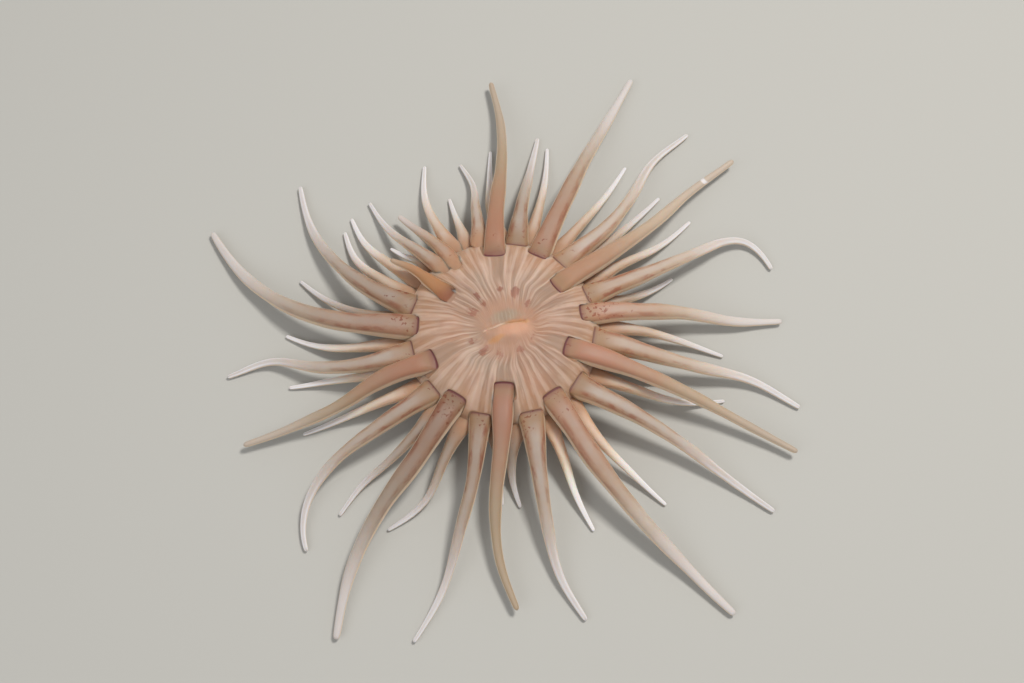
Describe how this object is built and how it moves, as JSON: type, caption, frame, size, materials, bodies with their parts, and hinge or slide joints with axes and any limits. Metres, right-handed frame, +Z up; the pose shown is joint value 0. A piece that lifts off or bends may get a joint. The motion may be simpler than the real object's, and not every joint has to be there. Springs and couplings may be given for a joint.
{
  "type": "sea anemone",
  "caption": "Life-size still model of a sea anemone: low broad column, domed oral disc with a central mouth, and four cycles of long tapering tentacles spread over the floor.",
  "frame": {"origin": "centre of the pedal disc, on the floor it rests on", "axes": "+Z up, square to the pedal disc; +X and +Y lie in the floor, with the long way of the mouth about 12 degrees from +X"},
  "size_m": [0.1868, 0.1872, 0.0231],
  "materials": {
    "column_skin": "smooth wet skin, buff pink, faintly translucent, with fine lengthwise lines",
    "disc_skin": "wet translucent skin, peach pink, with pale radial lines and red-brown mottling near the mouth",
    "lip_skin": "wet orange-pink flesh in soft folds along the slit",
    "tentacle_skin": "smooth wet translucent skin, mauve-brown to pink, paler to the tips, with pale streaks and a dark crease at the root"
  },
  "bodies": {
    "root": {"pedal_disc": "column_skin", "column": "column_skin", "oral_disc": "disc_skin", "mouth": "lip_skin", "primary_1_base": "tentacle_skin", "primary_1_end": "tentacle_skin", "primary_2_base": "tentacle_skin", "primary_2_end": "tentacle_skin", "primary_3_base": "tentacle_skin", "primary_3_end": "tentacle_skin", "primary_4_base": "tentacle_skin", "primary_4_end": "tentacle_skin", "primary_5_base": "tentacle_skin", "primary_5_end": "tentacle_skin", "primary_6_base": "tentacle_skin", "primary_6_end": "tentacle_skin", "secondary_1": "tentacle_skin", "secondary_2": "tentacle_skin", "secondary_3": "tentacle_skin", "secondary_4": "tentacle_skin", "secondary_5": "tentacle_skin", "secondary_6": "tentacle_skin", "tertiary_1": "tentacle_skin", "tertiary_2": "tentacle_skin", "tertiary_3": "tentacle_skin", "tertiary_4": "tentacle_skin", "tertiary_5": "tentacle_skin", "tertiary_6": "tentacle_skin", "tertiary_7": "tentacle_skin", "tertiary_8": "tentacle_skin", "tertiary_9": "tentacle_skin", "tertiary_10": "tentacle_skin", "tertiary_11": "tentacle_skin", "tertiary_12": "tentacle_skin", "quaternary_1": "tentacle_skin", "quaternary_2": "tentacle_skin", "quaternary_3": "tentacle_skin", "quaternary_4": "tentacle_skin", "quaternary_5": "tentacle_skin", "quaternary_6": "tentacle_skin", "quaternary_7": "tentacle_skin", "quaternary_8": "tentacle_skin", "quaternary_9": "tentacle_skin", "quaternary_10": "tentacle_skin", "quaternary_11": "tentacle_skin", "quaternary_12": "tentacle_skin", "quaternary_13": "tentacle_skin", "quaternary_14": "tentacle_skin", "quaternary_15": "tentacle_skin", "quaternary_16": "tentacle_skin", "quaternary_17": "tentacle_skin", "quaternary_18": "tentacle_skin", "quaternary_19": "tentacle_skin", "quaternary_20": "tentacle_skin", "quaternary_21": "tentacle_skin", "quaternary_22": "tentacle_skin", "quaternary_23": "tentacle_skin", "quaternary_24": "tentacle_skin"}
  },
  "joints": []
}
